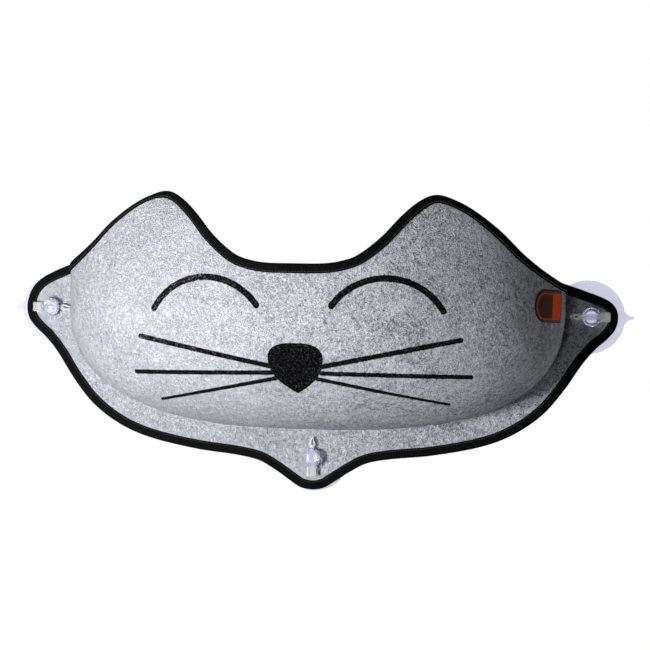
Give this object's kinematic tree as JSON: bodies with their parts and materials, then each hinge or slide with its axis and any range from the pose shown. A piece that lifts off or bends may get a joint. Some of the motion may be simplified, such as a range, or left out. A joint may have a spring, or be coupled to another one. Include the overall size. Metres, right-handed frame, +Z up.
{
  "type": "window mounted cat perch",
  "caption": "Moulded grey felt cat pouch with ears on a flat felt panel, edged in black tape and held on a window by suction cups with locking pins.",
  "frame": {"origin": "axis of the bottom suction cup, on the glass", "axes": "+Y into the glass, so the pouch stands out towards -Y; +Z up; +X to the right as seen from the room"},
  "size_m": [0.689, 0.2179, 0.3111],
  "materials": {
    "felt": "heather grey needled felt",
    "tape": "black woven binding tape",
    "label": "woven label, plain orange with a dark border",
    "clear_cup": "clear soft plastic with a faint blue cast",
    "clear_pin": "clear hard plastic"
  },
  "bodies": {
    "perch": {"back_panel": "felt", "front_shell": "felt", "edge_binding": "tape", "rim_binding": "tape", "side_label": "label"},
    "left_cup": {"suction_cup_left": "clear_cup"},
    "left_pin": {"locking_pin_left": "clear_pin"},
    "right_cup": {"suction_cup_right": "clear_cup"},
    "right_pin": {"locking_pin_right": "clear_pin"},
    "bottom_cup": {"suction_cup_bottom": "clear_cup"},
    "bottom_pin": {"locking_pin_bottom": "clear_pin"}
  },
  "joints": [
    {"name": "left_cup_swivel", "type": "hinge", "parent": "perch", "child": "left_cup", "pos_m": [-0.295, 0, 0.158], "axis": [0, -1, 0], "range_deg": [-90, 90]},
    {"name": "right_cup_swivel", "type": "hinge", "parent": "perch", "child": "right_cup", "pos_m": [0.295, 0, 0.158], "axis": [0, -1, 0], "range_deg": [-90, 90]},
    {"name": "bottom_cup_swivel", "type": "hinge", "parent": "perch", "child": "bottom_cup", "pos_m": [0, 0, 0], "axis": [0, -1, 0], "range_deg": [-90, 90]},
    {"name": "left_pin_slide", "type": "slide", "parent": "left_cup", "child": "left_pin", "axis": [-1, 0, 0], "range_m": [0, 0.045]},
    {"name": "right_pin_slide", "type": "slide", "parent": "right_cup", "child": "right_pin", "axis": [1, 0, 0], "range_m": [0, 0.045]},
    {"name": "bottom_pin_slide", "type": "slide", "parent": "bottom_cup", "child": "bottom_pin", "axis": [0, 0, -1], "range_m": [0, 0.045]}
  ]
}
